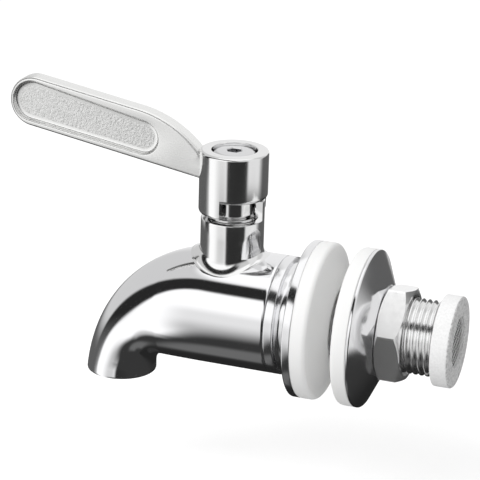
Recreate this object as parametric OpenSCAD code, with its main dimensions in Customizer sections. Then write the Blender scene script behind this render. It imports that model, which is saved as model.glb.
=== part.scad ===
// Quarter-turn spigot for a drinks dispenser, in millimetres.
// A cast spout body holds a ball valve, and a tail piece screws in behind it.
// The tail piece's shank passes through the container wall, and a nut clamps the wall between two gaskets.
// The origin is on the shank axis, at the rear face of the front gasket, which seats on the wall.
// +X runs along the shank into the container, +Z up along the stem, and the spout is towards -X.

/* [Spout] */
// Outer radius of the straight tube behind the bend
tube_r = 13.2; // [12.8:0.1:14]
// Distance from the wall seat to the joint between body and tail piece
joint_x = 11; // [10.6:0.1:11.6]
// Distance from the wall seat to the stem axis
stem_x = 23.1; // [22.6:0.1:23.8]
// Distance from the wall seat to the centre of the mouth
mouth_x = 49.1; // [47:0.1:52]
// Depth of the mouth below the shank axis
mouth_drop = 19.1; // [18.2:0.1:21]
// Outer radius of the mouth
mouth_r = 7.95; // [7.6:0.05:8.4]
// Wall at the mouth
mouth_wall = 1.6; // [1.2:0.1:2]
// Length of the straight bore at the mouth
outlet_length = 4; // [3:0.5:4.5]
// Radius of the tight corner under the bend
throat_r = 4; // [3:0.1:4.6]
// Distance from the wall seat to where the upper outline starts to fall
brow_x = 25.1; // [24.2:0.1:26]
// Height of the ellipse that the upper outline follows
brow_drop = 35.5; // [34:0.5:38]
// Sides of the swept bend
bend_sides = 40; // [24:4:48]

/* [Neck and stop] */
// Outer radius of the neck
neck_r = 7.02; // [6.8:0.02:7.2]
// Height of the neck's rim above the shank axis
neck_top = 21.3; // [20.9:0.1:21.6]
// Width of the fillet where the neck meets the tube
neck_fillet = 1.1; // [0.6:0.1:1.6]
// Height of the stop tab's top
tab_top = 25.6; // [25.2:0.1:25.8]
// Angle that the stop tab spans
tab_span = 40; // [30:1:44]
// Angle from +X towards the front at which the stop tab starts
tab_lead = 3.5; // [2:0.5:6]

/* [Ball valve] */
// Wall of the body round the nose of the tail piece
body_wall = 2.75; // [2.4:0.05:3]
// Step from the nose's bore down to the chamber
chamber_step = 1.85; // [1.6:0.05:2.1]
// Room between ball and chamber
ball_room = 1.1; // [0.9:0.05:1.3]
// Waterway through the ball as a share of its radius
waterway_share = 0.6; // [0.5:0.01:0.62]
// Step from the ball's waterway to a seat ring's bore
seat_step = 0.2; // [0.1:0.05:0.4]
// Distance from the ball to the outer face of each seat ring
seat_cover = 0.1; // [0.1:0.05:0.3]
// Thickness of a seat ring
seat_t = 2.1; // [1.9:0.1:2.2]
// Gap between the ball and its seats
seat_gap = 0.06; // [0.04:0.01:0.1]

/* [Stem] */
// Radius of the stem
stem_r = 3.9; // [3.7:0.05:4]
// Width across the flats of the stem's square top
stem_flats = 6.4; // [6.2:0.1:6.6]
// Step from the stem out to the collar that keeps it in the body
collar_step = 1.3; // [1.1:0.1:1.4]
// Thickness of that collar
collar_t = 1.2; // [1:0.1:1.4]
// Height of the collar over the chamber
collar_lift = 0.15; // [0.1:0.05:0.3]
// Thickness of the thrust washer's room over the collar
thrust_room = 0.6; // [0.5:0.05:0.8]
// Width of the tang that turns the ball
tang_w = 3.4; // [3:0.1:3.6]
// Running gap round the stem
stem_gap = 0.05; // [0.03:0.01:0.08]
// Thickness of an O-ring's section
ring_t = 1.4; // [1.2:0.1:1.5]
// Thickness of the packing under the gland nut
packing_t = 2; // [1.6:0.1:2.2]
// Radius of the gland nut's head
gland_r = 5.25; // [5.1:0.05:5.3]
// Height of the gland nut's head over the neck's rim
gland_rise = 0.6; // [0.4:0.1:0.8]

/* [Handle] */
// Radius of the hub
hub_r = 7.6; // [7.4:0.05:7.9]
// Height of the hub's top above the shank axis
hub_top = 36.7; // [36.2:0.1:37.4]
// Height of the hub's underside over the notch
hub_low = 26.1; // [26:0.1:26.5]
// Height of the skirt's lower edge
skirt_low = 22.3; // [22:0.1:22.6]
// Inner radius of the skirt
skirt_bore_r = 5.65; // [5.5:0.05:5.8]
// Radius of the boss inside the skirt
boss_r = 4.9; // [4.8:0.05:5]
// Angle that the handle turns
handle_turn = 90; // [85:1:95]
// Thickness of the lever
lever_t = 4.2; // [3.8:0.1:4.6]
// Distance from the stem axis to the centre of the lever's round end
lever_reach = 47.1; // [44:0.5:52]
// Height of that centre above the shank axis
lever_end_z = 42; // [40:0.5:44]
// Radius of the lever's round end
lever_end_r = 5.72; // [5.4:0.1:6.2]
// Slope of the lever's long edges
lever_slope = 9.6; // [9:0.1:11]
// Distance from the stem axis to where the top edge bends down
lever_bend_x = 22.9; // [20.5:0.1:24]
// Radius of that bend
lever_bend_r = 25; // [23:0.5:28]
// Rounding of the lever's long edges
lever_edge = 0.6; // [0.4:0.1:0.8]
// Depth of the shallow recess in each side of the lever
recess_d = 1; // [0.6:0.1:1.3]
// Radius of the recess at its outer end
recess_end_r = 4.4; // [4:0.1:4.6]
// Radius of the recess at its inner end
recess_root_r = 3.65; // [3.3:0.05:3.9]
// Distance from the stem axis to the centre of the recess's inner end
recess_root_x = 20.9; // [20:0.1:22]

/* [Handle screw] */
// Length of the screw's thread inside the stem
screw_grip = 8; // [6:0.5:9]
// Radius of the screw's thread
screw_r = 2.5; // [2.4:0.05:2.6]
// Radius of the screw's head
screw_head_r = 4.75; // [4.6:0.05:4.9]
// Height of the screw's head
screw_head_t = 2.6; // [2.4:0.1:2.8]
// Depth of the head's top below the hub's top
screw_sink = 0.2; // [0.1:0.1:0.4]
// Width across the flats of the hex socket
socket_flats = 3; // [2.5:0.5:3]
// Gap round the head in its counterbore
head_gap = 0.28; // [0.2:0.02:0.34]

/* [Tail piece] */
// Radius of the shank over its thread
shank_r = 8.33; // [8.3:0.01:8.36]
// Radius of the waterway through the shank
shank_bore_r = 5.5; // [5:0.1:6]
// Length of the shank past the wall seat
shank_length = 27.6; // [27.2:0.1:27.6]
// Width of the collar next to the joint
collar_w = 2.2; // [2:0.1:2.6]
// Step from the tube down to the waist between collar and flange
waist_step = 1.4; // [1:0.1:1.8]
// Radius of the flange and the gaskets
flange_r = 17.5; // [17:0.1:18.5]
// Thickness of the flange's rim
flange_t = 1.9; // [1.6:0.1:2]

/* [Clamp] */
// Thickness of each gasket
gasket_t = 3.5; // [3.2:0.1:3.6]
// Gap between the gaskets at rest, where the container wall goes
wall_gap = 5.4; // [5:0.1:5.6]
// Rounding of a gasket's free edge
gasket_edge = 1.1; // [0.6:0.1:1.4]
// Radius of the front gasket's flat land, outside its cone
gasket_land_r = 14.6; // [14:0.1:15]
// Depth of the cone that centres the front gasket in the wall's hole
gasket_cone = 2.6; // [2.2:0.1:3]
// Radius of that cone's tip
gasket_tip_r = 9.4; // [9.2:0.1:10]
// Gap between a gasket's hole and the shank
gasket_gap = 0.3; // [0.25:0.05:0.5]
// Depth of the cup washer
cup_depth = 4; // [3.8:0.1:4.2]
// Thickness of the cup washer's sheet
cup_t = 1; // [0.8:0.1:1.2]
// Radius of the flat land that the nut bears on
cup_land_r = 10.4; // [10:0.1:10.8]
// Width of the nut across its flats
nut_flats = 19.8; // [19.4:0.1:20.6]
// Thickness of the nut
nut_t = 5.8; // [5.4:0.1:6]
// Angle by which a corner of the nut stands above the horizontal
nut_angle = 14; // [0:1:59]
// Gap between the nut's bore and the thread
thread_gap = 0.05; // [0.03:0.01:0.08]

/* [Strainer] */
// Outer radius of the strainer cap
cap_r = 10.07; // [9.9:0.01:10.3]
// Distance from the wall seat to the cap's front edge
cap_x = 25.3; // [25.3:0.1:25.6]
// Length of the cap
cap_length = 4; // [3.9:0.1:4.4]
// Thickness of the cap's rear wall
cap_floor = 0.9; // [0.8:0.1:1]
// Radius of the window in the cap's rear wall
window_r = 5.6; // [5:0.1:6.2]
// Radius of the mesh disc
mesh_r = 7.6; // [7:0.1:8]
// Thickness of the mesh disc
mesh_t = 0.4; // [0.36:0.02:0.5]
// Spacing of the mesh's wires
mesh_pitch = 1.1; // [1:0.1:1.4]
// Width of a wire
wire_w = 0.4; // [0.3:0.05:0.5]

/* [Hidden] */
$fn = 96;

// Small amount by which a cut runs past a face
past = 1;
// Fit of a part that is screwed or pressed in and doesn't move
fit = 0.03;
// Bevel on turned edges
bevel = 0.3;

// Gap round the stem's collar in the body
collar_room = 0.2;
// How far the body's O-ring lies inside the joint's face
body_ring_in = 1.4;

// Sizes that follow from the tube
nose_r = tube_r - body_wall;
chamber_r = nose_r - chamber_step;
ball_r = chamber_r - ball_room;
ball_bore_r = waterway_share * ball_r;
seat_bore_r = ball_bore_r + seat_step;
seat_reach = ball_r + seat_cover;
seat_inner = seat_reach - seat_t;
waist_r = tube_r - waist_step;

// Stations along the shank
flange_face_x = -gasket_t;
flange_front_x = flange_face_x - flange_t;
rear_gasket_x = wall_gap;
cup_x = rear_gasket_x + gasket_t;
nut_x = cup_x + cup_depth;
cap_end_x = cap_x + cap_length;
cap_floor_x = cap_end_x - cap_floor;
rear_seat_x = -stem_x + seat_reach;
nose_floor_x = rear_seat_x - bevel;
body_ring_x = -joint_x - body_ring_in;

// Upper outline of the bend: an ellipse through the mouth's outer edge
brow_centre = [-brow_x, tube_r - brow_drop];
brow_share = (-mouth_drop - brow_centre[1]) / brow_drop;
brow_reach = (mouth_x + mouth_r - brow_x) / sqrt(1 - brow_share * brow_share);
throat_centre = [throat_r - mouth_x + mouth_r, -tube_r - throat_r];
passage_start_x = -stem_x - seat_reach - past;
passage_start_r = seat_bore_r + past;
outlet_r = mouth_r - mouth_wall;
passage_end_r = outlet_r - 0.15;
level_steps = 6;
fan_steps = 11;

// Heights along the stem axis
stem_bore_r = stem_r + stem_gap;
collar_r = stem_r + collar_step;
tang_r = collar_r - collar_room / 2;
collar_low = chamber_r + collar_lift;
collar_top = collar_low + collar_t;
shoulder_z = collar_top + thrust_room;
tang_low = ball_r - 1.9;
slot_floor = tang_low - 0.2;
slot_w = tang_w + 0.2;
ring_r = stem_r - ring_t / 2;
lower_ring_z = shoulder_z + 1.2;
upper_ring_z = lower_ring_z + ring_t + 0.4;
packing_z = upper_ring_z + ring_t;
gland_z = packing_z + packing_t;
gland_top = neck_top + gland_rise;
gland_thread_r = gland_r - 0.25;
rim_bore_r = gland_r + 0.2;
rim_floor = neck_top - 1.5;
boss_low = gland_top + 0.8;
head_seat = hub_top - screw_sink - screw_head_t;
web_low = head_seat - 2;
stem_top = web_low - 0.2;
square_low = boss_low - 0.2;
square_gap = 0.05;
screw_low = stem_top - screw_grip;

// The notch in the skirt, which is wider than the tab by the turn and a little play
stop_play = 0.5;
notch_start = -tab_lead - handle_turn - stop_play;
notch_span = tab_span + handle_turn + 2 * stop_play;
notch_round = 1.3;
notch_cut = 15;
skirt_ceiling = hub_low + 0.8;
lever_bend_turn = 40;
skirt_round = 2.6;

// Gasket and thread bores
gasket_bore_r = shank_r + gasket_gap;
nut_bore_r = shank_r + thread_gap;
cap_bore_r = shank_r + thread_gap;

// Turns a profile of [radius, station] points about the shank axis
module about_shank(profile) {
    rotate([0, 90, 0]) rotate_extrude() polygon(profile);
}

// Turns a profile of [radius, height] points about the stem axis
module about_stem(profile) {
    translate([-stem_x, 0, 0]) rotate_extrude() polygon(profile);
}

// A plain bar along the shank axis, from station x1 to x2
module shank_bar(r, x1, x2) {
    translate([x1, 0, 0]) rotate([0, 90, 0]) cylinder(r = r, h = x2 - x1);
}

// A plain post on the stem axis, from height z1 to z2
module stem_bar(r, z1, z2) {
    translate([-stem_x, 0, z1]) cylinder(r = r, h = z2 - z1);
}

// Points of an arc about c, from angle a1 to a2
function arc(c, r, a1, a2, n = 10) = [
    for (i = [0 : n]) let(a = a1 + (a2 - a1) * i / n) c + r * [cos(a), sin(a)]
];

// Distance from point p along direction d to the ellipse of the upper outline
function to_brow(p, d) =
    let(
        u = [(p[0] - brow_centre[0]) / brow_reach, (p[1] - brow_centre[1]) / brow_drop],
        w = [d[0] / brow_reach, d[1] / brow_drop],
        b = u * w
    ) (sqrt(b * b - w * w * (u * u - 1)) - b) / (w * w);

// A station of the bend is a point on its lower outline and the direction across to the upper one.
// The stations run level to the throat, fan round it and drop to the mouth.
function bend_stations(x_start, end_z, level, fan, drop) = [
    for (i = [0 : level - 1])
        [[x_start + (throat_centre[0] - x_start) * i / level, -tube_r], [0, 1]],
    for (i = [0 : fan - 1])
        let(a = 90 * i / fan, d = [-sin(a), cos(a)]) [throat_centre + throat_r * d, d],
    for (i = [0 : drop])
        let(z = throat_centre[1] + (end_z - throat_centre[1]) * i / drop)
        [[mouth_r - mouth_x, z], [-1, 0]]
];

// Ring of points in a station's plane, about the middle of its span
function bend_ring(station, r, n) =
    let(p = station[0], d = station[1], c = p + d * to_brow(p, d) / 2) [
        for (j = [0 : n - 1])
            let(a = 360 * j / n)
            [c[0] + r * cos(a) * d[0], r * sin(a), c[1] + r * cos(a) * d[1]]
    ];

// Skin over equal rings, closed at both ends
module skin(rings) {
    n = len(rings[0]);
    last = len(rings) - 1;
    points = [for (ring = rings) each ring];
    sides = [
        for (i = [0 : last - 1], j = [0 : n - 1])
            let(k = (j + 1) % n)
            each [
                [i * n + j, (i + 1) * n + j, i * n + k],
                [i * n + k, (i + 1) * n + j, (i + 1) * n + k]
            ]
    ];
    start = [for (j = [0 : n - 1]) j];
    end = [for (j = [0 : n - 1]) (last + 1) * n - 1 - j];
    polyhedron(points, concat(sides, [start, end]));
}

module bend_outside() {
    stations = bend_stations(past - brow_x, -mouth_drop, level_steps, fan_steps, 2);
    skin([
        for (s = stations)
            bend_ring(s, min(to_brow(s[0], s[1]) / 2, tube_r), bend_sides)
    ]);
}

module bend_passage() {
    stations = bend_stations(passage_start_x, past - mouth_drop, level_steps / 2, fan_steps - 2, 1);
    last = len(stations) - 1;
    skin([
        for (i = [0 : last])
            bend_ring(
                stations[i],
                passage_start_r + (passage_end_r - passage_start_r) * i / last,
                bend_sides - 12
            )
    ]);
}

// The neck with its fillet to the tube, as high as the stop tab all round
module neck() {
    fillet_z = sqrt(tube_r * tube_r - neck_r * neck_r);
    about_stem(concat(
        [[0, 0], [neck_r + neck_fillet, 0], [neck_r + neck_fillet, fillet_z]],
        arc([neck_r + neck_fillet, tube_r + neck_fillet], neck_fillet, 270, 180, 8),
        [[neck_r, tab_top - bevel], [neck_r - bevel, tab_top], [0, tab_top]]
    ));
}

// What is cut from the top of the neck to leave the stop tab standing over its rim
module beside_tab() {
    translate([-stem_x, 0, 0])
        rotate([0, 0, tab_span - tab_lead])
            rotate_extrude(angle = 360 - tab_span)
                polygon([
                    [rim_bore_r - past, neck_top],
                    [neck_r - bevel, neck_top],
                    [neck_r + past, neck_top - bevel - past],
                    [neck_r + past, tab_top + past],
                    [rim_bore_r - past, tab_top + past]
                ]);
}

// Spout, tube and neck are one casting
module spout_body() {
    color("silver")
    difference() {
        union() {
            bend_outside();
            about_shank([
                [0, -brow_x], [tube_r, -brow_x], [tube_r, -joint_x - bevel],
                [tube_r - bevel, -joint_x], [0, -joint_x]
            ]);
            neck();
        }
        beside_tab();
        bend_passage();
        translate([-mouth_x, 0, -mouth_drop - past]) cylinder(r = outlet_r, h = outlet_length + past);
        shank_bar(seat_bore_r, passage_start_x - past, -stem_x);
        shank_bar(chamber_r, -stem_x - seat_reach, -joint_x + past);
        shank_bar(nose_r + fit, nose_floor_x, -joint_x + past);
        stem_bar(collar_r + collar_room, 0, shoulder_z);
        stem_bar(stem_bore_r, 0, neck_top);
        stem_bar(gland_thread_r + fit, packing_z, neck_top);
        stem_bar(rim_bore_r, rim_floor, tab_top + past);
    }
}

// Collar, waist, flange, shank and threaded nose are one turned piece
module tail_piece() {
    collar_x = collar_w - joint_x;
    waist_x = flange_front_x - bevel;
    color("silver")
    difference() {
        union() {
            about_shank(concat(
                [
                    [0, rear_seat_x], [nose_r - bevel, rear_seat_x], [nose_r, rear_seat_x + bevel],
                    [nose_r, -joint_x], [tube_r - bevel, -joint_x], [tube_r, bevel - joint_x],
                    [tube_r, collar_x - bevel], [tube_r - bevel, collar_x], [waist_r + 0.4, collar_x]
                ],
                arc([waist_r + 1, (collar_x + waist_x) / 2], 1, 215, 145, 6),
                [
                    [waist_r + 0.6, waist_x], [flange_r - bevel, flange_front_x],
                    [flange_r, flange_front_x + bevel], [flange_r, flange_face_x],
                    [shank_r, flange_face_x], [shank_r, shank_length - 2 * bevel],
                    [shank_r - 2 * bevel, shank_length], [0, shank_length]
                ]
            ));
        }
        shank_bar(shank_bore_r, rear_seat_x + seat_t, shank_length + past);
        shank_bar(seat_bore_r, rear_seat_x - past, rear_seat_x + seat_t + past);
        translate([body_ring_x, 0, 0]) rotate([0, 90, 0]) o_ring_groove(nose_r);
    }
}

// Groove of square section, one O-ring deep, round a shaft of radius r
module o_ring_groove(r) {
    rotate_extrude()
        translate([r - ring_t, -ring_t / 2 - fit])
            square([ring_t + past, ring_t + 2 * fit]);
}

// O-ring that fills such a groove to the shaft's surface
module o_ring(r) {
    rotate_extrude() translate([r - ring_t / 2, 0]) circle(d = ring_t - 2 * fit, $fn = 32);
}

// Seals the joint between body and tail piece
module body_o_ring() {
    color("dimgray") translate([body_ring_x, 0, 0]) rotate([0, 90, 0]) o_ring(nose_r);
}

// Seat ring, with a dish that fits the ball
module seat_ring() {
    difference() {
        translate([seat_reach - seat_t, 0, 0])
            rotate([0, 90, 0])
                difference() {
                    cylinder(r = chamber_r - fit, h = seat_t);
                    translate([0, 0, -past]) cylinder(r = seat_bore_r, h = seat_t + 2 * past);
                }
        sphere(r = ball_r + seat_gap);
    }
}

module front_seat_ring() {
    color("white") translate([-stem_x, 0, 0]) mirror([1, 0, 0]) seat_ring();
}

module rear_seat_ring() {
    color("white") translate([-stem_x, 0, 0]) seat_ring();
}

// Bored ball, with a slot across its top for the stem's tang
module ball() {
    color("lightsteelblue")
    translate([-stem_x, 0, 0])
        difference() {
            sphere(r = ball_r);
            rotate([0, 90, 0]) cylinder(r = ball_bore_r, h = 2 * ball_r + past, center = true);
            translate([-slot_w / 2, -ball_r, slot_floor]) cube([slot_w, 2 * ball_r, ball_r]);
        }
}

// Grooved stem with a square top, and a tang milled from its collar's bar
module stem() {
    tang_l = 2 * (seat_inner - bevel);
    color("silver")
    difference() {
        union() {
            intersection() {
                stem_bar(tang_r, tang_low, collar_low + bevel);
                translate([-stem_x - tang_w / 2, -tang_l / 2, tang_low])
                    cube([tang_w, tang_l, collar_low - tang_low + bevel]);
            }
            stem_bar(collar_r, collar_low, collar_top);
            stem_bar(stem_r, collar_low, square_low);
            intersection() {
                stem_bar(stem_r, square_low - bevel, stem_top);
                translate([-stem_x - stem_flats / 2, -stem_flats / 2, square_low - bevel])
                    cube([stem_flats, stem_flats, stem_top - square_low + bevel]);
            }
        }
        translate([-stem_x, 0, lower_ring_z]) o_ring_groove(stem_r);
        translate([-stem_x, 0, upper_ring_z]) o_ring_groove(stem_r);
        stem_bar(screw_r, screw_low - bevel, stem_top + past);
    }
}

module stem_thrust_washer() {
    color("white")
    difference() {
        stem_bar(collar_r, collar_top + fit, shoulder_z - fit);
        stem_bar(stem_bore_r, collar_top - past, shoulder_z + past);
    }
}

module lower_stem_o_ring() {
    color("dimgray") translate([-stem_x, 0, lower_ring_z]) o_ring(stem_r);
}

module upper_stem_o_ring() {
    color("dimgray") translate([-stem_x, 0, upper_ring_z]) o_ring(stem_r);
}

module stem_packing() {
    color("white")
    difference() {
        stem_bar(gland_thread_r, packing_z, gland_z);
        stem_bar(stem_bore_r, packing_z - past, gland_z + past);
    }
}

module gland_nut() {
    head_low = rim_floor + fit;
    color("silver")
    difference() {
        about_stem([
            [0, gland_z], [gland_thread_r, gland_z], [gland_thread_r, head_low],
            [gland_r, head_low], [gland_r, gland_top - bevel], [gland_r - bevel, gland_top],
            [0, gland_top]
        ]);
        stem_bar(stem_bore_r, gland_z - past, gland_top + past);
    }
}

// Outline of a bar with a large round end at c1 and a small one at c2, drawn clockwise from the lower side
function tapered_slot(c1, r1, c2, r2, n = 20) =
    let(
        d = c2 - c1,
        along = atan2(d[1], d[0]),
        lean = acos((r1 - r2) / norm(d))
    ) concat(
        arc(c1, r1, along - lean, along + lean - 360, n),
        arc(c2, r2, along + lean, along - lean, n)
    );

// Outline of the lever seen from the side, drawn in by e all round
function lever_outline(e) =
    let(
        end = [-lever_reach, lever_end_z],
        up = [sin(lever_slope), cos(lever_slope)],
        down_right = [cos(lever_slope), -sin(lever_slope)],
        top_run = (lever_reach - lever_bend_x) / cos(lever_slope),
        bend_start = end + (lever_end_r - e) * up + top_run * down_right,
        bend_centre = bend_start - (lever_bend_r - e) * up,
        low_run = (lever_reach - hub_r / 2) / cos(lever_slope)
    ) concat(
        arc(end, lever_end_r - e, 270 - lever_slope, 90 - lever_slope, 24),
        arc(bend_centre, lever_bend_r - e, 90 - lever_slope, 90 - lever_slope - lever_bend_turn, 10),
        [end - (lever_end_r - e) * up + low_run * down_right]
    );

// Slab of an outline drawn in the plane of spout and stem, centred on that plane
module side_slab(outline, t) {
    rotate([90, 0, 0]) translate([0, 0, -t / 2]) linear_extrude(t) polygon(outline);
}

module lever() {
    recess_slope = lever_slope + 1.8;
    recess_end = [-lever_reach - 0.3, lever_end_z + 0.1];
    recess_root = [
        -recess_root_x,
        recess_end[1] - (lever_reach + 0.3 - recess_root_x) * tan(recess_slope - 0.7)
    ];
    outline = tapered_slot(recess_end, recess_end_r, recess_root, recess_root_r);
    difference() {
        hull() {
            side_slab(lever_outline(0), lever_t - 2 * lever_edge);
            side_slab(lever_outline(lever_edge), lever_t);
        }
        for (side = [-1, 1])
            translate([0, side * (lever_t - recess_d + past) / 2, 0])
                side_slab(outline, recess_d + past);
    }
}

// Hub with the screw's counterbore, a square hole and a notched skirt
module hub() {
    top_round = 0.7;
    about_stem(concat(
        [[0, boss_low], [boss_r, boss_low], [boss_r, skirt_ceiling], [skirt_bore_r, skirt_ceiling]],
        [[skirt_bore_r, skirt_low]],
        arc([hub_r - skirt_round, skirt_low + skirt_round], skirt_round, -52, 0, 10),
        arc([hub_r - top_round, hub_top - top_round], top_round, 0, 90, 6),
        [[0, hub_top]]
    ));
}

// Notch in the skirt that lets the handle turn past the stop tab
module stop_notch() {
    translate([-stem_x, 0, 0])
        rotate([0, 0, notch_start])
            rotate_extrude(angle = notch_span)
                polygon(concat(
                    [[skirt_bore_r - bevel, skirt_low - past]],
                    [
                        [hub_r + past, skirt_low - past],
                        [hub_r + past, hub_low + notch_round * (1 - sin(notch_cut))]
                    ],
                    arc([hub_r - notch_round, hub_low + notch_round], notch_round, -notch_cut, -90, 8),
                    [[skirt_bore_r - bevel, hub_low]]
                ));
}

// Lever and hub are one casting
module handle() {
    color("gainsboro")
    difference() {
        union() {
            hub();
            translate([-stem_x, 0, 0]) lever();
        }
        stop_notch();
        stem_bar(screw_head_r + head_gap, head_seat, hub_top + past);
        stem_bar(screw_r + square_gap, web_low - past, head_seat + past);
        translate([-stem_x - stem_flats / 2 - square_gap, -stem_flats / 2 - square_gap, boss_low - past])
            cube([stem_flats + 2 * square_gap, stem_flats + 2 * square_gap, web_low - boss_low + past]);
    }
}

// Button-headed screw with a hex socket
module handle_screw() {
    head_top = head_seat + screw_head_t;
    color("silver")
    difference() {
        about_stem([
            [0, screw_low], [screw_r - fit, screw_low], [screw_r - fit, head_seat],
            [screw_head_r, head_seat], [screw_head_r, head_top - 2 * bevel],
            [screw_head_r - 2 * bevel, head_top], [0, head_top]
        ]);
        translate([-stem_x, 0, head_seat + bevel])
            cylinder(d = socket_flats / cos(30), h = screw_head_t, $fn = 6);
    }
}

// The front one has a cone on its wall side, which enters the wall's hole
module front_gasket() {
    color("white")
        about_shank([
            [shank_r + fit, -gasket_t], [flange_r, -gasket_t],
            each arc([flange_r - gasket_edge, -gasket_edge], gasket_edge, 0, 90, 8),
            [gasket_land_r, 0], [gasket_tip_r, gasket_cone], [shank_r + fit, gasket_cone]
        ]);
}

module rear_gasket() {
    color("white")
        about_shank([
            [gasket_bore_r, rear_gasket_x], [gasket_bore_r, cup_x], [flange_r, cup_x],
            each arc([flange_r - gasket_edge, rear_gasket_x + gasket_edge], gasket_edge, 0, -90, 8)
        ]);
}

// Cup washer pressed from sheet, with its rim on the gasket and a flat land under the nut
module cup_washer() {
    rim_w = 1.2;
    color("silver")
        about_shank([
            [gasket_bore_r, nut_x - cup_t], [cup_land_r - bevel, nut_x - cup_t],
            [flange_r - rim_w, cup_x], [flange_r, cup_x], [flange_r, cup_x + 0.7 * cup_t],
            [cup_land_r, nut_x], [gasket_bore_r, nut_x]
        ]);
}

// Hexagon nut, turned down to a cone at the corners of both faces
module clamp_nut() {
    corner_r = nut_flats / 2 / cos(30);
    face_r = nut_flats / 2 - bevel;
    clear_r = corner_r + past;
    cone = (clear_r - face_r) * tan(30);
    color("silver")
    difference() {
        intersection() {
            translate([nut_x, 0, 0])
                rotate([0, 90, 0])
                    rotate([0, 0, -90 - nut_angle])
                        cylinder(r = corner_r, h = nut_t, $fn = 6);
            about_shank([
                [0, nut_x], [face_r, nut_x], [clear_r, nut_x + cone],
                [clear_r, nut_x + nut_t - cone], [face_r, nut_x + nut_t], [0, nut_x + nut_t]
            ]);
        }
        shank_bar(nut_bore_r, nut_x - past, nut_x + nut_t + past);
    }
}

module strainer_cap() {
    edge = 0.8;
    color("white")
        about_shank(concat(
            [[cap_bore_r, cap_x], [cap_r - bevel, cap_x], [cap_r, cap_x + bevel]],
            arc([cap_r - edge, cap_end_x - edge], edge, 0, 90, 8),
            [
                [window_r + bevel, cap_end_x], [window_r, cap_end_x - bevel],
                [window_r, cap_floor_x], [cap_bore_r, cap_floor_x]
            ]
        ));
}

// Woven disc as two crossed layers of bars in a hem, which lies against the cap's rear wall
module strainer_mesh() {
    hem = mesh_r - window_r - fit;
    count = floor(mesh_r / mesh_pitch);
    color("gainsboro")
    translate([cap_floor_x - mesh_t, 0, 0])
        rotate([0, 90, 0]) {
            difference() {
                cylinder(r = mesh_r, h = mesh_t);
                translate([0, 0, -past]) cylinder(r = mesh_r - hem, h = mesh_t + 2 * past);
            }
            intersection() {
                cylinder(r = mesh_r - hem / 2, h = mesh_t);
                for (turn = [0, 1])
                    rotate([0, 0, 90 * turn])
                        for (i = [-count : count])
                            translate([i * mesh_pitch - wire_w / 2, -mesh_r, turn * mesh_t / 2])
                                cube([wire_w, 2 * mesh_r, mesh_t / 2]);
            }
        }
}

spout_body();
tail_piece();
front_seat_ring();
rear_seat_ring();
body_o_ring();
ball();
stem();
stem_thrust_washer();
lower_stem_o_ring();
upper_stem_o_ring();
stem_packing();
gland_nut();
handle();
handle_screw();
front_gasket();
rear_gasket();
cup_washer();
clamp_nut();
strainer_cap();
strainer_mesh();
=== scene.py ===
"""Looks of the drinks spigot: surfaces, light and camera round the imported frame.

All shapes are worked out in millimetres in the row's frame and turned into metres at the end.
"""

import math

import bmesh
import bpy
import numpy as np
from mathutils import Matrix, Vector


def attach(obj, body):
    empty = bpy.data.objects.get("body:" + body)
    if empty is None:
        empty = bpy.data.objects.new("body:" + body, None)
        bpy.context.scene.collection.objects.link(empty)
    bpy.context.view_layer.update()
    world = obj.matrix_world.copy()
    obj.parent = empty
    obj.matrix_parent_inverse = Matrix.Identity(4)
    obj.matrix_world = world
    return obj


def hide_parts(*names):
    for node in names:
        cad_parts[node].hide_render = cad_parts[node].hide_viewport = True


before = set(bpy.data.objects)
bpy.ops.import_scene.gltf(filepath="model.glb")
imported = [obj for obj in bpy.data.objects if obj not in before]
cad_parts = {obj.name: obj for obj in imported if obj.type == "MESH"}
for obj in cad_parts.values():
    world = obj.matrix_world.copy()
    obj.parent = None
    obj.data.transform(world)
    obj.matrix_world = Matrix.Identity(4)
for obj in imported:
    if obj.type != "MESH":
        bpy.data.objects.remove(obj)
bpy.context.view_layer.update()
scene = bpy.context.scene
MM = 0.001

# Sizes shared with the part's source
TUBE_R, JOINT_X, STEM_X = 13.2, 11.0, 23.1
MOUTH_X, MOUTH_DROP, MOUTH_R, MOUTH_WALL = 49.1, 19.1, 7.95, 1.6
THROAT_R, BROW_X, BROW_DROP = 4.0, 25.1, 35.5
BEND_BORE_R, BEND_BORE_X = 5.7, 31.7
NECK_R, NECK_TOP, NECK_FILLET, TAB_TOP = 7.02, 21.3, 1.6, 25.6
TAB_LEAD, TAB_SPAN = 3.5, 40.0
RIM_BORE_R, RIM_FLOOR = 5.45, 19.8
HUB_R, HUB_TOP, HUB_LOW, SKIRT_LOW = 7.6, 36.7, 26.1, 22.3
SKIRT_BORE_R, SKIRT_CEILING, BOSS_R, BOSS_LOW = 5.65, 26.9, 4.9, 22.7
HEAD_BORE_R, HEAD_FLOOR, SCREW_BORE_R = 5.03, 33.9, 3.3
SCREW_HEAD_R, SCREW_TOP, SCREW_R, SOCKET_FLATS = 4.75, 36.5, 2.4, 3.0
STEM_R, GLAND_R, GLAND_HEAD_R = 3.95, 4.97, 5.25
GLAND_Z, GLAND_SEAT, GLAND_TOP = 16.95, 19.83, 21.9
LEVER_T, LEVER_REACH, LEVER_END_Z, LEVER_END_R = 4.2, 47.1, 42.0, 5.72
LEVER_SLOPE, LEVER_BEND_X, LEVER_BEND_R = 9.6, 22.9, 25.0
SHANK_R, SHANK_BORE_R, SHANK_END, PITCH = 8.33, 5.5, 27.6, 1.337
FLANGE_R, FLANGE_FRONT, GASKET_T = 17.5, -5.4, 3.5
FRONT_GASKET_BORE_R, GASKET_ROUND = 8.4, 1.1
GASKET_LAND_R, GASKET_CONE, GASKET_TIP_R = 14.6, 2.6, 9.4
REAR_GASKET_X, REAR_GASKET_BORE_R = 5.4, 8.65
CUP_X, CUP_LIP, CUP_FLOOR, CUP_BORE_R = 8.9, 9.6, 11.9, 8.63
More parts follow.
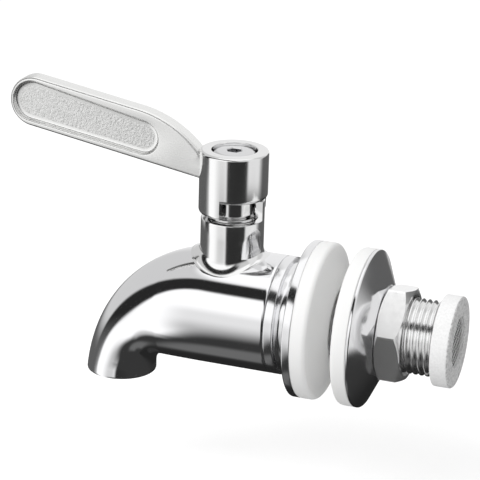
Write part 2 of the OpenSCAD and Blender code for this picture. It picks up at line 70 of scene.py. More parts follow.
NUT_X, NUT_T, NUT_FLATS, NUT_ANGLE = 12.9, 5.8, 19.8, 14.0
CAP_X, CAP_END, CAP_R, CAP_BORE_R = 25.3, 29.3, 10.07, 8.4
WINDOW_R, WINDOW_DEPTH = 5.6, 0.9


def build(name, verts, faces, material, body, slot, replaced=(), sharp=32.0, face_out=True):
    """A mesh object from points in millimetres, smooth except where it turns sharply."""
    bm = bmesh.new()
    points = [bm.verts.new(Vector(p) * MM) for p in verts]
    for f in faces:
        if len(set(f)) > 2:
            bm.faces.new([points[i] for i in f])
    bmesh.ops.remove_doubles(bm, verts=bm.verts, dist=2e-6)
    if face_out:
        bmesh.ops.recalc_face_normals(bm, faces=bm.faces)
    mesh = bpy.data.meshes.new(name)
    bm.to_mesh(mesh)
    bm.free()
    mesh.shade_smooth()
    mesh.set_sharp_from_angle(angle=math.radians(sharp))
    mesh.materials.append(material)
    piece = bpy.data.objects.new(name, mesh)
    scene.collection.objects.link(piece)
    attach(piece, body)
    if replaced:
        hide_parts(*replaced)
    return piece


def soften(corners, steps=6):
    """A closed outline whose corners (x, y, radius) are rounded."""
    out = []
    n = len(corners)
    for i in range(n):
        p = np.array(corners[i][:2], float)
        r = corners[i][2]
        if r <= 0:
            out.append(tuple(p))
            continue
        a = np.array(corners[i - 1][:2], float) - p
        b = np.array(corners[(i + 1) % n][:2], float) - p
        la, lb = np.linalg.norm(a), np.linalg.norm(b)
        a, b = a / la, b / lb
        half = math.acos(max(-1.0, min(1.0, float(a @ b)))) / 2
        run = min(r / math.tan(half), la * 0.49, lb * 0.49)
        r = run * math.tan(half)
        centre = p + (a + b) / np.linalg.norm(a + b) * (r / math.sin(half))
        s, e = p + a * run - centre, p + b * run - centre
        turn = math.atan2(s[0] * e[1] - s[1] * e[0], s @ e)
        for k in range(steps + 1):
            t = turn * k / steps
            c, d = math.cos(t), math.sin(t)
            out.append(tuple(centre + np.array([s[0] * c - s[1] * d, s[0] * d + s[1] * c])))
    return out


def lathe(outline, axis, segments=192, start=0.0, sweep=360.0):
    """Verts and faces of a closed outline of (radius, station) turned about the shank or the stem."""
    whole = sweep >= 359.999
    rows = segments if whole else segments + 1
    verts, faces = [], []
    m = len(outline)
    for i in range(rows):
        t = math.radians(start + sweep * i / segments)
        c, s = math.cos(t), math.sin(t)
        for r, h in outline:
            if axis == "x":
                verts.append((h, r * c, r * s))
            else:
                verts.append((r * c - STEM_X, r * s, h))
    for i in range(segments):
        j = (i + 1) % rows
        for k in range(m):
            n = (k + 1) % m
            faces.append((i * m + k, i * m + n, j * m + n, j * m + k))
    if not whole:
        faces.append(tuple(range(m)))
        faces.append(tuple(segments * m + k for k in reversed(range(m))))
    return verts, faces


def join(*meshes):
    """One set of verts and faces out of several."""
    verts, faces = [], []
    for v, f in meshes:
        base = len(verts)
        verts.extend(v)
        faces.extend(tuple(i + base for i in face) for face in f)
    return verts, faces


def strip(rows):
    """Verts and faces of a skin over closed rows of equally many points."""
    verts = [tuple(p) for row in rows for p in row]
    n = len(rows[0])
    faces = []
    for i in range(len(rows) - 1):
        for j in range(n):
            k = (j + 1) % n
            faces.append((i * n + j, i * n + k, (i + 1) * n + k, (i + 1) * n + j))
    return verts, faces


def angles(n):
    return [2 * math.pi * j / n for j in range(n)]


def shank_ring(r, x, n):
    """Circle about the shank's axis, from its top."""
    return [(x, r * math.sin(a), r * math.cos(a)) for a in angles(n)]


def stem_ring(r, z, n):
    """Circle about the stem's axis."""
    return [(r * math.cos(a) - STEM_X, r * math.sin(a), z) for a in angles(n)]


# Materials


class Nodes:
    """Short hand for building one material's node tree."""

    def __init__(self, name, color):
        self.material = bpy.data.materials.new(name)
        self.material.use_nodes = True
        self.tree = self.material.node_tree
        self.shader = self.tree.nodes["Principled BSDF"]
        self.shader.inputs["Base Color"].default_value = (*color, 1)

    def add(self, kind, inputs, **settings):
        node = self.tree.nodes.new(kind)
        for key, value in settings.items():
            setattr(node, key, value)
        for key, value in inputs.items():
            node.inputs[key].default_value = value
        return node

    def link(self, a, b):
        self.tree.links.new(a, b)

    def noise(self, scale, detail, rough, stretch=None):
        source = self.add("ShaderNodeTexCoord", {}).outputs["Object"]
        if stretch:
            mapping = self.add("ShaderNodeMapping", {"Scale": stretch})
            self.link(source, mapping.inputs["Vector"])
            source = mapping.outputs["Vector"]
        noise = self.add("ShaderNodeTexNoise", {"Scale": scale, "Detail": detail, "Roughness": rough})
        self.link(source, noise.inputs["Vector"])
        return noise.outputs["Fac"]

    def ranged(self, value, low_out, high_out, low_in=0.3, high_in=0.7):
        """The value, stretched from one range to another."""
        node = self.add("ShaderNodeMapRange", {
            "From Min": low_in, "From Max": high_in, "To Min": low_out, "To Max": high_out,
        })
        self.link(value, node.inputs["Value"])
        return node.outputs["Result"]

    def roughen(self, noise, rough, spread):
        """A roughness that drifts a little with the noise."""
        self.link(self.ranged(noise, rough - spread, rough + spread), self.shader.inputs["Roughness"])

    def bump(self, scale, strength, distance, stretch=None):
        """Fine bumps all over."""
        node = self.add("ShaderNodeBump", {"Strength": strength, "Distance": distance})
        self.link(self.noise(scale, 4.0, 0.6, stretch), node.inputs["Height"])
        self.link(node.outputs["Normal"], self.shader.inputs["Normal"])


def metal(name, color, rough, spread=0.03, grain=180.0, streak=None, bump=None, metallic=1.0):
    """A metal whose roughness drifts a little, along streaks where they are given."""
    m = Nodes(name, color)
    m.shader.inputs["Metallic"].default_value = metallic
    m.roughen(m.noise(grain, 4.0, 0.6, streak), rough, spread)
    if bump:
        m.bump(*bump)
    return m.material


def soft(name, color, rough, subsurface=0.0, bump=None, specular=0.5, grain_shade=None):
    """Plastic or silicone, with darker specks as painted shade of its grain, where the last argument gives their
    grey and their scale.
    """
    m = Nodes(name, color)
    if grain_shade:
        grey, scale = grain_shade
        blend = m.add("ShaderNodeMix", {"A": (grey, grey, grey, 1), "B": (*color, 1)}, data_type="RGBA")
        m.link(m.ranged(m.noise(scale, 4.0, 0.7), 0.0, 1.0, 0.36, 0.6), blend.inputs["Factor"])
        m.link(blend.outputs["Result"], m.shader.inputs["Base Color"])
    m.shader.inputs["Specular IOR Level"].default_value = specular
    if subsurface:
        m.shader.inputs["Subsurface Weight"].default_value = subsurface
        m.shader.inputs["Subsurface Radius"].default_value = (1.0, 0.95, 0.9)
        m.shader.inputs["Subsurface Scale"].default_value = 0.0012
    m.roughen(m.noise(300.0, 3.0, 0.5), rough, 0.05)
    if bump:
        m.bump(*bump)
    return m.material


polished = metal("polished_steel", (0.9, 0.9, 0.91), 0.06, 0.02, bump=(55.0, 0.04, 0.0002))
turned = metal("turned_steel", (0.88, 0.88, 0.89), 0.13, 0.02)
stem_steel = metal("stem_steel", (0.75, 0.75, 0.75), 0.2)
pressed = metal("pressed_steel", (0.86, 0.86, 0.87), 0.12, 0.02)
nut_steel = metal(
    "nut_steel", (0.98, 0.98, 0.98), 0.15, 0.04, grain=900.0,
    bump=(900.0, 0.03, 0.0001, (1, 0.1, 0.1)), metallic=0.9,
)
thread_steel = metal("thread_steel", (0.9, 0.9, 0.9), 0.17)
# A darker copy of the thread's steel for the shank's bore: painted shade inside it.
shaded_bore_steel = metal("shaded_bore_steel", (0.3, 0.3, 0.3), 0.5)
screw_steel = metal("screw_steel", (0.74, 0.74, 0.75), 0.16)
hub_steel = metal(
    "hub_steel", (0.86, 0.86, 0.86), 0.12, 0.04, grain=900.0, streak=(1, 1, 0.05),
    bump=(1400.0, 0.05, 0.0001, (1, 1, 0.03)),
)
satin = metal(
    "satin_steel", (0.9, 0.9, 0.89), 0.27, 0.05, grain=700.0, streak=(0.08, 1, 1),
    bump=(900.0, 0.06, 0.0001, (0.06, 1, 1)),
)
grainy = metal("grainy_steel", (0.92, 0.92, 0.91), 0.42, 0.1, grain=900.0, bump=(2200.0, 0.7, 0.0002))
silicone = soft("white_silicone", (0.86, 0.86, 0.855), 0.5, subsurface=0.15)
# The cap's plastic carries light specks of painted shade for its grain.
plastic = soft("white_plastic", (0.88, 0.88, 0.88), 0.5, bump=(1500.0, 0.35, 0.0002), grain_shade=(0.8, 2200.0))
# The cap's rear face: a darker copy of its plastic with deep specks, painted shade on that face and in its grain.
shaded_cap_face = soft("grainy_plastic_painted_shade", (0.78, 0.78, 0.78), 0.6, bump=(1800.0, 1.0, 0.0003), grain_shade=(0.4, 2200.0))
mesh_plastic = soft("mesh_plastic", (0.8, 0.8, 0.8), 0.5)
# Black for the disc behind the strainer's weave: painted shade.
painted_shade_black = soft("painted_shade_black", (0.07, 0.07, 0.07), 0.8, specular=0.1)
seat_plastic = soft("seat_plastic", (0.92, 0.92, 0.91), 0.4)

# Spout body: the outside of tube and bend as one fine skin, and the bend's bore

BROW_C = (-BROW_X, TUBE_R - BROW_DROP)
SHARE = (-MOUTH_DROP - BROW_C[1]) / BROW_DROP
REACH = (MOUTH_X + MOUTH_R - BROW_X) / math.sqrt(1 - SHARE * SHARE)
THROAT_C = (THROAT_R - MOUTH_X + MOUTH_R, -TUBE_R - THROAT_R)
MOUTH_SIDE = MOUTH_R - MOUTH_X
SIDES = 160


def to_brow(p, d):
    """Distance from p along d to the ellipse of the upper outline."""
    u = ((p[0] - BROW_C[0]) / REACH, (p[1] - BROW_C[1]) / BROW_DROP)
    w = (d[0] / REACH, d[1] / BROW_DROP)
    b = u[0] * w[0] + u[1] * w[1]
    q = w[0] ** 2 + w[1] ** 2
    return (math.sqrt(b * b - q * (u[0] ** 2 + u[1] ** 2 - 1)) - b) / q


def stations(x_start, end_z, level, fan, drop):
    """Points on the lower outline and the directions across from them to the upper one."""
    out = []
    for i in range(level):
        out.append(((x_start + (THROAT_C[0] - x_start) * i / level, -TUBE_R), (0.0, 1.0)))
    for i in range(fan):
        a = math.radians(90 * i / fan)
        d = (-math.sin(a), math.cos(a))
        out.append(((THROAT_C[0] + THROAT_R * d[0], THROAT_C[1] + THROAT_R * d[1]), d))
    for i in range(drop + 1):
        z = THROAT_C[1] + (end_z - THROAT_C[1]) * i / drop
        out.append(((MOUTH_SIDE, z), (-1.0, 0.0)))
    return out


def bend_ring(station, r):
    """Circle of radius r in a station's plane."""
    p, d = station
    half = to_brow(p, d) / 2
    c = (p[0] + d[0] * half, p[1] + d[1] * half)
    return [
        (c[0] + r * math.cos(a) * d[0], r * math.sin(a), c[1] + r * math.cos(a) * d[1]) for a in angles(SIDES)
    ]


def mouth_ring(lift, r):
    """Circle of radius r near the mouth, lifted over its edge."""
    return bend_ring(((MOUTH_SIDE, -MOUTH_DROP + lift), (-1.0, 0.0)), r)


def eased(rows, rounds, taper):
    """Rows whose sides flow evenly from one to the next, with the outline above and below kept."""
    rows = np.array(rows)
    side = np.sin(2 * np.pi * np.arange(SIDES) / SIDES) ** 2
    place = np.arange(len(rows))
    hold = np.clip(np.minimum(place, len(rows) - 1 - place) / taper, 0, 1)
    even = rows.copy()
    for _ in range(rounds):
        even[1:-1] = even[1:-1] / 2 + (even[:-2] + even[2:]) / 4
    share = hold[:, None, None] * side[None, :, None]
    return (rows + (even - rows) * share).tolist()


def spout_skin():
    bevel, joint_bore_r, tube_rows = 0.3, 10.6, 36
    tube_start = -JOINT_X - bevel
    rows = [
        shank_ring(joint_bore_r, -JOINT_X, SIDES), shank_ring(TUBE_R - bevel, -JOINT_X, SIDES),
        shank_ring(TUBE_R - 0.09, -JOINT_X - 0.09, SIDES), shank_ring(TUBE_R, tube_start, SIDES),
    ]
    outside = []
    for i in range(1, tube_rows):
        outside.append(shank_ring(TUBE_R, tube_start + (-BROW_X - tube_start) * i / tube_rows, SIDES))
    for s in stations(-BROW_X, -MOUTH_DROP + 0.25, 36, 64, 6):
        outside.append(bend_ring(s, min(to_brow(*s) / 2, TUBE_R)))
    rows.extend(eased(outside, 260, 14))
    inner = MOUTH_R - MOUTH_WALL
    for lift, r in ((0.08, MOUTH_R - 0.06), (0.0, MOUTH_R - 0.25), (0.0, inner + 0.2), (0.2, inner)):
        rows.append(mouth_ring(lift, r))
    inside = stations(-BEND_BORE_X, -MOUTH_DROP + 1.0, 12, 30, 3)
    last = len(inside) - 1
    for i in range(last, -1, -1):
        rows.append(bend_ring(inside[i], BEND_BORE_R + (inner - BEND_BORE_R) * i / last))
    return strip(rows)


def neck_foot():
    """Fillet between neck and tube, following the tube's round, with the neck's wall over it."""
    n, steps = 160, 14
    rows = []
    for k in range(-3, steps + 1):
        t = math.radians(90 * k / steps)
        rho = NECK_R + NECK_FILLET * (1 - math.sin(t))
        lift = NECK_FILLET * (1 - math.cos(t))
        if k < 0:
            # The fillet's foot runs on just under the tube's skin
            rho, lift = NECK_R + NECK_FILLET - 0.12 * k, 0.05 * k
        row = []
        for a in angles(n):
            y = rho * math.sin(a)
            row.append((rho * math.cos(a) - STEM_X, y, math.sqrt(TUBE_R ** 2 - y * y) + lift))
        rows.append(row)
    for r, z in (
        (NECK_R, 17.5), (NECK_R, NECK_TOP - 0.3), (NECK_R - 0.08, NECK_TOP - 0.08), (NECK_R - 0.3, NECK_TOP),
        (RIM_BORE_R + 0.15, NECK_TOP), (RIM_BORE_R, NECK_TOP - 0.15), (RIM_BORE_R, RIM_FLOOR), (5.0, RIM_FLOOR),
    ):
        rows.append(stem_ring(r, z, n))
    return strip(rows)


def stop_tab():
    outline = soften([
        (RIM_BORE_R, RIM_FLOOR, 0), (NECK_R - 0.05, RIM_FLOOR, 0), (NECK_R - 0.05, NECK_TOP - 0.3, 0),
        (NECK_R, NECK_TOP - 0.29, 0), (NECK_R, TAB_TOP, 0.25), (RIM_BORE_R, TAB_TOP, 0.2),
    ], 4)
    return lathe(outline, "z", 40, -TAB_LEAD, TAB_SPAN)


build("spout_casting", *spout_skin(), polished, "root", "polished_body", ("spout_body",))
build("spout_neck", *join(neck_foot(), stop_tab()), hub_steel, "root", "polished_body")

# Tail piece: collar, waist, flange and a cut thread


def tail_turned():
    """The collar's front edge is rounded as for a hollow face, and the face is then set on the joint."""
    inner_r, hollow, collar_end = 7.0, 0.6, -8.8
    outline = soften([
        (inner_r, hollow - JOINT_X, 0), (TUBE_R, -JOINT_X, 0.28), (TUBE_R, collar_end, 0.28),
        (11.9, collar_end, 0.2), (11.5, -7.9, 1.2), (11.7, -6.3, 1.2), (13.2, FLANGE_FRONT, 0.8),
        (FLANGE_R, FLANGE_FRONT, 0.35), (FLANGE_R, -GASKET_T, 0.15), (inner_r, -GASKET_T, 0),
    ])
    outline[0] = (inner_r, -JOINT_X)
    return lathe(outline, "x", 256)


def thread():
    """Helical thread whose faces run along its turns, and the plain bore inside it."""
    per_turn, per_pitch = 96, 16
    depth, crest, flank_share = 0.86, 0.14, 0.72
    start, end = 0.2 - GASKET_T, SHANK_END - 0.1
    verts, faces = [], []
    rows = int((end - start) / PITCH + 1) * per_pitch
    for i in range(rows + 1):
        v = abs(2 * ((i / per_pitch) % 1.0) - 1)
        flank = min(1.0, max(0.0, (v - crest) / flank_share))
        flank = flank * flank * (3 - 2 * flank) * 0.45 + flank * 0.55
        for j in range(per_turn):
            turn = j / per_turn
            s = min(end, max(start, start + (i / per_pitch - 1 + turn) * PITCH))
            a = 2 * math.pi * turn
            # The chamfer at the shank's end cuts the last turns down
            r = SHANK_R - max(depth * flank, (s - SHANK_END + 0.9) * 0.9)
            verts.append((s, r * math.cos(a), r * math.sin(a)))
    for i in range(rows):
        for j in range(per_turn):
            k, up = (j + 1, 0) if j + 1 < per_turn else (0, per_pitch)
            if i + 1 + up <= rows:
                here, there = i * per_turn + j, (i + up) * per_turn + k
                faces.append((here, there, there + per_turn, here + per_turn))
    root = SHANK_R - depth - 0.1
    bore = lathe(soften([
        (SHANK_BORE_R, start, 0), (SHANK_BORE_R, SHANK_END, 0.3), (root, SHANK_END, 0.2), (root, start, 0),
    ], 3), "x", per_turn)
    return (verts, faces), bore


turns, bore = thread()
build("tail_turned", *tail_turned(), turned, "root", "polished_tail", ("tail_piece",))
build("shank_thread", *turns, thread_steel, "root", "polished_tail", sharp=40.0)
# The bore takes the darkened steel, painted shade.
build("shank_bore", *bore, shaded_bore_steel, "root", "polished_tail")

# Clamp: gaskets, cup washer and nut

front_gasket = soften([
    (FRONT_GASKET_BORE_R, GASKET_CONE, 0.2), (FRONT_GASKET_BORE_R, -GASKET_T, 0), (FLANGE_R, -GASKET_T, 0.25),
    (FLANGE_R, 0, GASKET_ROUND), (GASKET_LAND_R, 0, 0), (GASKET_TIP_R, GASKET_CONE, 0.4),
], 8)
rear_gasket = soften([
    (REAR_GASKET_BORE_R, REAR_GASKET_X, 0.3), (REAR_GASKET_BORE_R, CUP_X, 0), (FLANGE_R, CUP_X, 0.25),
    (FLANGE_R, REAR_GASKET_X, GASKET_ROUND),
], 8)
cup = soften([
    (CUP_BORE_R, CUP_FLOOR, 0.1), (10.1, CUP_FLOOR, 0.6), (16.3, CUP_X, 0.2), (FLANGE_R, CUP_X, 0.2),
    (FLANGE_R, CUP_LIP, 0.35), (10.4, NUT_X, 0.6), (CUP_BORE_R, NUT_X, 0.1),
])
build("front_gasket_ring", *lathe(front_gasket, "x"), silicone, "root", "gasket_silicone", ("front_gasket",))
build("rear_gasket_ring", *lathe(rear_gasket, "x"), silicone, "clamp", "gasket_silicone", ("rear_gasket",))
build("cup_pressed", *lathe(cup, "x", 256), pressed, "clamp", "pressed_washer", ("cup_washer",))


def hexagon_nut():
    """Hexagon with its corners cut by a cone at both faces, round a countersunk bore."""
    n, sink = 360, 0.6
    half = NUT_FLATS / 2
    corner = half / math.cos(math.radians(30))
    face = half - 0.3
    slope = math.tan(math.radians(30))
    bore, x0, x1 = SHANK_R + 0.05, NUT_X, NUT_X + NUT_T
    rows = [[] for _ in range(10)]
    for j in range(n):
        a = 360 * j / n
        local = (a + NUT_ANGLE + 90) % 60.0
        r = min(half / math.cos(math.radians(local - 30)), corner - 0.03)
        cut = max(0.0, (r - face) * slope)
        angle = math.radians(a)
        profile = (
            (bore, x0 + sink), (bore + sink, x0), (face, x0), (r - 0.05, x0 + cut - 0.03), (r, x0 + cut + 0.05),
            (r, x1 - cut - 0.05), (r - 0.05, x1 - cut + 0.03), (face, x1), (bore + sink, x1), (bore, x1 - sink),
        )
        for row, (q, x) in zip(rows, profile):
            row.append((x, q * math.sin(angle), -q * math.cos(angle)))
    rows.append(rows[0])
    return strip(rows)


build("clamp_hexagon", *hexagon_nut(), nut_steel, "nut", "nut_steel", ("clamp_nut",), sharp=18.0)

# Strainer: cap with a grainy rear face darkened as painted shade, a woven mesh in its window and, behind that, a
# black disc of painted shade for the gaps

window_floor = CAP_END - WINDOW_DEPTH
shell = soften([
    (CAP_BORE_R, CAP_X, 0.2), (CAP_R, CAP_X, 0.35), (CAP_R, CAP_END, 0.55), (WINDOW_R, CAP_END, 0.3),
    (WINDOW_R, window_floor, 0), (CAP_BORE_R, window_floor, 0),
], 8)
cap = build("strainer_shell", *lathe(shell, "x"), plastic, "strainer", "cap_plastic", ("strainer_cap",))
cap.data.materials.append(shaded_cap_face)
# The rear face takes the darker plastic: painted shade.
for polygon in cap.data.polygons:
    if polygon.center[0] > (CAP_END - 0.3) * MM:
        polygon.material_index = 1


def weave():
    """Woven wires at a slant, thick and close one way, thin and wide apart the other."""
    middle_x, half_thick, ripple = CAP_END - 0.3, 0.03, 0.03
    slant = math.radians(-45)
    c, s = math.cos(slant), math.sin(slant)
    parts = []
    for turn, half_wide, pitch in ((0, 0.1, 0.72), (1, 0.05, 2.16)):
        count = int(WINDOW_R / pitch)
        for i in range(-count, count + 1):
            at = i * pitch
            span = math.sqrt((WINDOW_R + 0.2) ** 2 - at * at)
            n = max(8, int(span / pitch * 8))
            rows = []
            for k in range(n + 1):
                u = -span + 2 * span * k / n
                lift = ripple * math.cos(math.pi * (u / pitch + i + turn))
                row = []
                for a in angles(6):
                    v = at + half_wide * math.cos(a)
                    y, z = (v, u) if turn else (u, v)
                    row.append((middle_x + lift + half_thick * math.sin(a), y * c - z * s, y * s + z * c))
                rows.append(row)
            parts.append(strip(rows))
    return join(*parts)


# A black disc just behind the weave, where the shank's inside would only be in shade: painted shade in the mesh's
# gaps.
shade_disc_outline = [(0.01, CAP_END - 0.88), (WINDOW_R, CAP_END - 0.88), (WINDOW_R, CAP_END - 0.8), (0.01, CAP_END - 0.8)]
build("strainer_weave", *weave(), mesh_plastic, "strainer", "mesh_plastic", ("strainer_mesh",), sharp=60.0)
build("strainer_shade_disc", *lathe(shade_disc_outline, "x", 64), painted_shade_black, "strainer", "mesh_plastic")

# Handle: hub, notched skirt and lever

NOTCH_START, NOTCH_SPAN = -94.0, 131.0


def hub_outline(low_z, low_round):
    """Right half of the hub's section, with its lowest edge at low_z."""
    return soften([
        (BOSS_R, BOSS_LOW, 0), (BOSS_R, SKIRT_CEILING, 0), (SKIRT_BORE_R, SKIRT_CEILING, 0),
        (SKIRT_BORE_R, low_z, 0.1), (HUB_R, low_z, low_round), (HUB_R, HUB_TOP, 0.7), (HEAD_BORE_R, HUB_TOP, 0.25),
        (HEAD_BORE_R, HEAD_FLOOR, 0), (SCREW_BORE_R, HEAD_FLOOR, 0), (SCREW_BORE_R, BOSS_LOW, 0),
    ], 10)


def lever_outline(e):
    """Outline of the lever in (x, z) about the stem, drawn in by e."""
    t = math.radians(LEVER_SLOPE)
    up = np.array([math.sin(t), math.cos(t)])
    run = np.array([math.cos(t), -math.sin(t)])
    end = np.array([-LEVER_REACH, LEVER_END_Z])
    end_r, bend_r = LEVER_END_R - e, LEVER_BEND_R - e
    out = []
    for k in range(41):
        a = math.radians(270 - LEVER_SLOPE - 180 * k / 40)
        out.append(tuple(end + end_r * np.array([math.cos(a), math.sin(a)])))
    top = (LEVER_REACH - LEVER_BEND_X) / math.cos(t)
    for k in range(1, 16):
        out.append(tuple(end + end_r * up + top * k / 16 * run))
    centre = end + end_r * up + top * run - bend_r * up
    for k in range(25):
        a = math.radians(90 - LEVER_SLOPE - 40 * k / 24)
        out.append(tuple(centre + bend_r * np.array([math.cos(a), math.sin(a)])))
    reach = (LEVER_REACH - HUB_R / 2) / math.cos(t)
    for k in range(28):
        out.append(tuple(end - end_r * up + reach * (1 - k / 28) * run))
    return out


# The recess in each side of the lever tapers a little more than the lever, from its far end to its near one
RECESS_DEPTH, RECESS_SLOPE = 1.0, LEVER_SLOPE + 1.1
RECESS_FAR_R, RECESS_NEAR_R, RECESS_NEAR_X = 4.4, 3.65, 20.9
RECESS_FAR = np.array([-LEVER_REACH - 0.3, LEVER_END_Z + 0.1])
RECESS_FALL = (LEVER_REACH + 0.3 - RECESS_NEAR_X) * math.tan(math.radians(RECESS_SLOPE))
RECESS_NEAR = np.array([-RECESS_NEAR_X, RECESS_FAR[1] - RECESS_FALL])


def recess_outline(grow):
    """Outline of the lever's recess in (x, z) about the stem, widened by grow."""
    n = 40
    r1, r2 = RECESS_FAR_R + grow, RECESS_NEAR_R + grow
    d = RECESS_NEAR - RECESS_FAR
    along = math.atan2(d[1], d[0])
    lean = math.acos((r1 - r2) / np.linalg.norm(d))
    out = []
    for k in range(n + 1):
        a = along - lean - (2 * math.pi - 2 * lean) * k / n
        out.append((RECESS_FAR[0] + r1 * math.cos(a), RECESS_FAR[1] + r1 * math.sin(a)))
    for k in range(n + 1):
        a = along + lean - 2 * lean * k / n
        out.append((RECESS_NEAR[0] + r2 * math.cos(a), RECESS_NEAR[1] + r2 * math.sin(a)))
    return out


def upright(outline, y):
    """An outline in (x, z) about the stem, stood up at y."""
    return [(x - STEM_X, y, z) for x, z in outline]


def flat_round_recess(edge, y):
    """Lever's flat face between its rounded edge and the recess."""
    bm = bmesh.new()
    loops = [[bm.verts.new(p) for p in upright(o, y)] for o in (lever_outline(edge), recess_outline(0.5))]
    edges = [bm.edges.new((loop[i - 1], loop[i])) for loop in loops for i in range(len(loop))]
    bmesh.ops.triangle_fill(bm, use_beauty=True, use_dissolve=False, edges=edges)
    bm.verts.index_update()
    flat = [tuple(v.co) for v in bm.verts], [tuple(v.index for v in f.verts) for f in bm.faces]
    bm.free()
    return flat


def lever():
    """Rounded rim all round, and on each side the flat face and the recess's rolled wall."""
    edge, half = 0.75, LEVER_T / 2
    # Pairs of how far the outline is drawn in and how far it stands from the middle plane
    rim = []
    for k in range(9):
        a = math.radians(90 * k / 8)
        rim.append((edge * (1 - math.cos(a)), half - edge + edge * math.sin(a)))
    rim = [(e, -y) for e, y in reversed(rim)] + rim
    parts = [strip([upright(lever_outline(e), y) for e, y in rim])]
    # Pairs of how far the recess is widened and how deep that lies
    wall = (
        (0.5, 0.0), (0.36, 0.03), (0.24, 0.09), (0.14, 0.2), (0.06, 0.36), (0.0, 0.55),
        (-0.08, 0.72), (-0.22, 0.86), (-0.45, 0.95), (-0.95, RECESS_DEPTH),
    )
    for side in (-1, 1):
        parts.append(flat_round_recess(edge, side * half))
        parts.append(strip([upright(recess_outline(grow), side * (half - down)) for grow, down in wall]))
    return join(*parts)


def recess_floors():
    y = LEVER_T / 2 - RECESS_DEPTH
    outline = recess_outline(-0.9)
    face = [tuple(range(len(outline)))]
    return join((upright(outline, -y), face), (upright(outline, y), face))


full_side = lathe(hub_outline(SKIRT_LOW, 2.6), "z", 150, NOTCH_START + NOTCH_SPAN, 360 - NOTCH_SPAN)
notch_side = lathe(hub_outline(HUB_LOW - 0.001, 1.3), "z", 90, NOTCH_START, NOTCH_SPAN)
build("handle_lever", *lever(), satin, "valve", "satin_handle", ("handle",), sharp=35.0)
build("handle_hub", *join(full_side, notch_side), hub_steel, "valve", "satin_handle", sharp=35.0)
build("lever_recess_floors", *recess_floors(), grainy, "valve", "satin_handle", face_out=False)

# Screw in the hub, with a rounded head and a hex socket, and the gland nut under the hub


def screw_head():
    n, dome_r, dome_h, side = 96, 1.15, 0.95, SCREW_TOP - 1.1
    profile = [
        (SCREW_R, HEAD_FLOOR - 4), (SCREW_R, HEAD_FLOOR), (SCREW_HEAD_R, HEAD_FLOOR), (SCREW_HEAD_R, side),
    ]
    for k in range(1, 9):
        t = math.radians(90 * k / 8)
        profile.append((SCREW_HEAD_R - dome_r * (1 - math.cos(t)), side + dome_h * math.sin(t)))
    profile.append((2.1, SCREW_TOP))
    rows = [stem_ring(r, z, n) for r, z in profile]
    for grow, z in ((0.18, SCREW_TOP), (0.0, SCREW_TOP - 0.18), (0.0, HEAD_FLOOR + 0.4)):
        row = []
        for a in angles(n):
            r = (SOCKET_FLATS / 2 + grow) / math.cos(a % (math.pi / 3) - math.pi / 6)
            row.append((r * math.cos(a) - STEM_X, r * math.sin(a), z))
        rows.append(row)
    rows.append(stem_ring(0.02, HEAD_FLOOR + 0.3, n))
    return strip(rows)


gland = soften([
    (STEM_R, GLAND_Z, 0), (GLAND_R, GLAND_Z, 0), (GLAND_R, GLAND_SEAT, 0), (GLAND_HEAD_R, GLAND_SEAT, 0),
    (GLAND_HEAD_R, GLAND_TOP, 0.25), (STEM_R, GLAND_TOP, 0.15),
], 4)
build("screw_button", *screw_head(), screw_steel, "valve", "screw_steel", ("handle_screw",), sharp=35.0)
build("gland_turned", *lathe(gland, "z", 128), stem_steel, "root", "turned_stem", ("gland_nut",))

# Finishes on the pieces that keep their CAD shape
for name, material in {
    "ball": turned,
    "stem": stem_steel,
    "front_seat_ring": seat_plastic,
    "rear_seat_ring": seat_plastic,
    "stem_thrust_washer": seat_plastic,
    "stem_packing": seat_plastic,
    "body_o_ring": silicone,
    "lower_stem_o_ring": silicone,
    "upper_stem_o_ring": silicone,
}.items():
    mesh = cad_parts[name].data
    mesh.materials.clear()
    mesh.materials.append(material)

# Camera, fitted to the photograph: turns in degrees, places in millimetres, focal length in its pixels
AZIMUTH, ELEVATION, ROLL = 19.1021, 20.1773, -1.74354
PIVOT_X = -1.1
CAMERA_RIGHT, CAMERA_UP, CAMERA_BACK = -18.50097, 17.80635, 439.587
FOCAL_PX, PHOTO_PX, SENSOR = 1997.733, 480, 36


def camera_axes():
    """Rows to the camera's right, up and back from what it looks at."""
    a, e, r = (math.radians(v) for v in (AZIMUTH, ELEVATION, ROLL))
    back = np.array([math.sin(a) * math.cos(e), -math.cos(a) * math.cos(e), math.sin(e)])
    right = np.array([math.cos(a), math.sin(a), 0.0])
    up = np.cross(back, right)
    c, s = math.cos(r), math.sin(r)
    return np.array([[c, -s, 0], [s, c, 0], [0, 0, 1]]) @ np.array([right, up, back])


axes = camera_axes()
place = axes.T @ np.array([CAMERA_RIGHT, CAMERA_UP, CAMERA_BACK]) + np.array([PIVOT_X, 0, 0])
camera = bpy.data.objects.new("camera", bpy.data.cameras.new("camera"))
scene.collection.objects.link(camera)
camera.data.sensor_width = SENSOR
camera.data.lens = FOCAL_PX / PHOTO_PX * SENSOR
camera.data.clip_start, camera.data.clip_end = 0.01, 10
matrix = Matrix(axes.T.tolist()).to_4x4()
matrix.translation = Vector((place * MM).tolist())
camera.matrix_world = matrix
scene.camera = camera

# Light: a white world, a soft lamp, a pale floor, and a dome of greys that only reflections show

FLOOR_Z, FLOOR_HALF, FLOOR_GREY, FLOOR_LIFT = -45.0, 1500.0, 0.7, 0.45
WORLD_SEEN, WORLD_FILL = 1.0, 0.75
DOME_R, DOME_ACROSS, DOME_UP = 900.0, 180, 90
LAMP_PLACE, LAMP_AIM = Vector((-0.25, -0.35, 0.45)), Vector((-0.02, 0, 0.01))
LAMP_WIDE, LAMP_HIGH, LAMP_WATTS = 0.4, 0.3, 2.0


